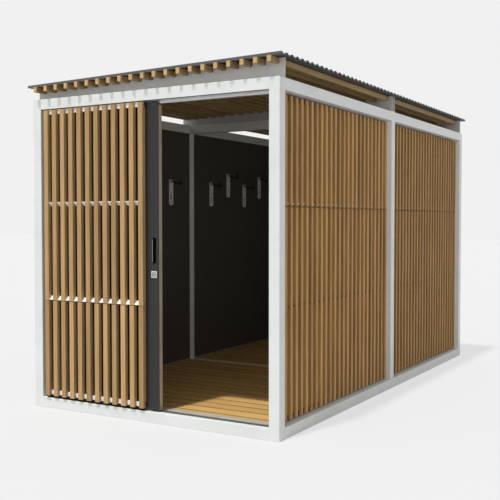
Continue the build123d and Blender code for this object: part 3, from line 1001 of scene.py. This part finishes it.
plate = block("lock_plate", (-plate_half, -plate_depth, -plate_half), (plate_half, 0, plate_half))
ease(plate, "Y", plate_corner, 5)
ease_front(plate, -plate_depth)
ring = disc("lock_ring", ring_radius, ring_depth, ring_face)
pick(ring, "FACE", lambda centre, normal: normal.y < -0.9)
bpy.ops.mesh.inset(thickness=ring_rim, depth=0)
bpy.ops.mesh.inset(thickness=groove_slope, depth=-groove_depth)
close()
core = disc("lock_core", core_radius, core_depth, core_face)
ease_front(core, core_face)
carve(core, block("keyhole", (-key_half_width, key_depth[0], -key_half_height),
                  (key_half_width, key_depth[1], key_half_height)))
for piece in (plate, ring, core):
    piece.location = lock_place
    settle(piece)
    soften(piece)
    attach(piece, "door")
wear(lock_metal, "lock_metal", plate)
wear(screw_metal, "lock_metal", core)
wear(black_coat, "pull_dark", ring)
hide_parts("door_lock")
print("lock stands", round(lock_place.z, 3), "m above the ground")

# %% [markdown]
# ## Bike hooks
# Each hook is a flat bar that falls away from its wall plate and turns up at the tip, dipped in black. The
# plate is long, rounded, slotted, and held by screws. One of each is modelled and copied to ten places, low
# and high by turns.

# %% Plate with its slot
lining_face = left + tube
hook_width, hook_height, hook_gauge = 0.066, 0.245, 0.004
hooks_per_bay, hook_spacing, hook_low, hook_step = 5, 0.332, 1.610, 0.100
foot_corner, head_corner, plate_ease = 0.024, 0.012, 0.0006
hook_slot_half, hook_slot_corner, hook_slot_ends = 0.0095, 0.0094, (0.050, 0.104)
end_zone = 0.01
hook_places = []
for centre in (front + tube + bay / 2, rear - tube - bay / 2):
    for k in range(hooks_per_bay):
        along = centre + (k - hooks_per_bay // 2) * hook_spacing
        hook_places.append((lining_face, along, hook_low + hook_step * (k % 2)))
hook_plate = block("hook_plates_slotted", (0, -hook_width / 2, 0), (hook_gauge, hook_width / 2, hook_height))
pick(hook_plate, "EDGE", lambda centre, way: abs(way.x) > 0.9 and centre.z < end_zone)
round_edges(foot_corner, 8)
pick(hook_plate, "EDGE", lambda centre, way: abs(way.x) > 0.9 and centre.z > hook_height - end_zone)
round_edges(head_corner, 5)
slot_cut = block("slot_cut", (-end_zone, -hook_slot_half, hook_slot_ends[0]),
                 (end_zone, hook_slot_half, hook_slot_ends[1]))
ease(slot_cut, "X", hook_slot_corner, 6)
carve(hook_plate, slot_cut)
pick(hook_plate, "EDGE", lambda centre, way: centre.x > hook_gauge - near_face and abs(way.x) < 0.1)
round_edges(plate_ease, 1)
hook_plate = copy_to(hook_plate, hook_places)
soften(hook_plate)
wear(plate_metal, "hook_plate", hook_plate)
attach(hook_plate, "shelter")
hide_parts("hook_plates")
print(len(hook_places), "plates,", len(hook_plate.data.polygons), "faces")

# %% Screws on the plates
hook_screw_radius, hook_screw_height = 0.0062, 0.0016
hook_screw_rises = (0.030, 0.124, 0.215)
plate_screw = screw_head("hook_screws", hook_screw_radius, hook_screw_height)
plate_screw.rotation_euler.y = radians(90)
settle(plate_screw)
screw_places = [(x + hook_gauge, y, z + rise) for x, y, z in hook_places for rise in hook_screw_rises]
hook_screws = copy_to(plate_screw, screw_places)
wear(black_coat, "hook_coat", hook_screws)
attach(hook_screws, "shelter")
print(len(screw_places), "plate screws")

# %% Bent bar, pushed out step by step
bar, bar_width, bar_drop, root_length = 0.009, 0.034, 0.008, 0.002
reach, fall, tip = 0.122, 0.038, 0.052
crook_round, bar_ease = 0.007, 0.0015
crook_reach, crook_height = 0.001, 0.002
root = hook_height - bar_drop
arm_start = hook_gauge + root_length


def push(x, y, z):
    bpy.ops.mesh.extrude_region_move(TRANSFORM_OT_translate={"value": (x, y, z)})


def at_crook(centre, way):
    low_down = centre.z < root - fall - bar + crook_height
    return abs(way.y) > 0.9 and centre.x > reach - crook_reach and low_down


hook = block("hook_arms_bent", (hook_gauge, -bar_width / 2, root - bar), (arm_start, bar_width / 2, root))
pick(hook, "FACE", lambda centre, normal: normal.x > 0.9)
push(reach - bar - arm_start, 0, -fall)
push(bar, 0, 0)
close()
pick(hook, "FACE", lambda centre, normal: normal.z > 0.9 and centre.x > reach - bar)
push(0, 0, tip)
close()
pick(hook, "EDGE", at_crook)
round_edges(crook_round, 4)
pick(hook, "EDGE", lambda centre, way: abs(way.y) < 0.2 and abs(centre.y) > bar_width / 2 - near_face)
round_edges(bar_ease, 2)
hook = copy_to(hook, hook_places)
soften(hook)
wear(black_coat, "hook_coat", hook)
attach(hook, "shelter")
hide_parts("hook_arms")
print(hook.name, len(hook.data.polygons), "faces")

# %% [markdown]
# ## Floor, light and camera
# A pale floor carries a faint shadow. A key light stands high at the front, as in the picture of the object,
# and an even pale surround fills the shade. A weak panel of light stands for what bounces about inside, and
# the camera doesn't see it. The camera stands at the picture's place.

# %% Pale floor
ground_size, ground_drop = 120, 0.0005
ground_grey, plain_share = 0.48, 0.645
bpy.ops.object.select_all(action="DESELECT")
bpy.ops.mesh.primitive_plane_add(size=ground_size, location=(0, 0, -ground_drop))
ground = bpy.context.object
ground.name = "pale_floor"
settle(ground)
pale = bpy.data.materials.new("pale_floor")
pale.use_nodes = True
tree = pale.node_tree
shader = tree.nodes["Principled BSDF"]
shader.inputs["Base Color"].default_value = (ground_grey, ground_grey, ground_grey, 1)
shader.inputs["Roughness"].default_value = 0.9
seen = add(tree, "ShaderNodeLightPath").outputs
plain = add(tree, "ShaderNodeEmission", {"Color": (1, 1, 1, 1), "Strength": 1.0})
direct = sums(tree, "MAXIMUM", seen["Is Camera Ray"], seen["Is Glossy Ray"])
share = sums(tree, "MULTIPLY", direct, plain_share)
mixed = add(tree, "ShaderNodeMixShader", {0: share, 1: shader.outputs[0], 2: plain.outputs[0]})
tree.links.new(mixed.outputs[0], tree.nodes["Material Output"].inputs["Surface"])
ground.data.materials.append(pale)

# %% Surround and key light
front_level, side_level, rear_level = 0.35, 0.490, 0.38
backdrop_grey = 0.877
sun_way = Vector((0.19, 1.0, -3.1))
inner_gap, inner_height = 0.05, 1.5
world = bpy.data.worlds.new("surround")
scene.world = world
world.use_nodes = True
tree = world.node_tree
fill = tree.nodes["Background"]
fill.inputs["Color"].default_value = (1, 1, 1, 1)
view_way = add(tree, "ShaderNodeTexCoord").outputs["Generated"]
way = add(tree, "ShaderNodeSeparateXYZ", {0: view_way}).outputs[1]
ahead = span(tree, way, -1.0, 0.0, front_level, 0.0)
behind = span(tree, way, 0.0, 1.0, side_level, rear_level)
tree.links.new(sums(tree, "ADD", ahead, behind), fill.inputs["Strength"])
seen = add(tree, "ShaderNodeLightPath").outputs
backdrop_colour = (backdrop_grey, backdrop_grey, backdrop_grey, 1)
backdrop = add(tree, "ShaderNodeBackground", {"Color": backdrop_colour, "Strength": 1.0})
direct = sums(tree, "MAXIMUM", seen["Is Camera Ray"], seen["Is Glossy Ray"])
direct = sums(tree, "MAXIMUM", direct, seen["Is Transmission Ray"])
mixed = add(tree, "ShaderNodeMixShader", {0: direct, 1: fill.outputs[0], 2: backdrop.outputs[0]})
tree.links.new(mixed.outputs[0], tree.nodes["World Output"].inputs["Surface"])
bpy.ops.object.light_add(type="SUN", location=(-3, -6, 9))
key = bpy.context.object
key.name = "key_light"
key.data.energy = 2.75
key.data.angle = radians(3)
key.rotation_euler = sun_way.to_track_quat("-Z", "Y").to_euler()
bpy.ops.object.light_add(type="AREA", location=(inner_right - inner_gap, 0, inner_height),
                         rotation=(0, radians(90), 0))
inner = bpy.context.object
inner.name = "inner_fill"
inner.data.shape = "RECTANGLE"
inner.data.size = 1.4
inner.data.size_y = 3.4
inner.data.energy = 4.5
inner.data.color = (1.0, 0.93, 0.85)
inner.visible_camera = False

# %% Camera
camera_place = (3.6689, -6.8667, 1.4563)
camera_turn = (radians(88.0206), 0, radians(30.2959))
bpy.ops.object.camera_add(location=camera_place, rotation=camera_turn)
camera = bpy.context.object
camera.name = "picture_camera"
camera.data.lens = 59.96
camera.data.sensor_width = 36
camera.data.clip_end = 300
scene.camera = camera
print("camera", [round(v, 2) for v in camera.location], "lens", round(camera.data.lens, 2))
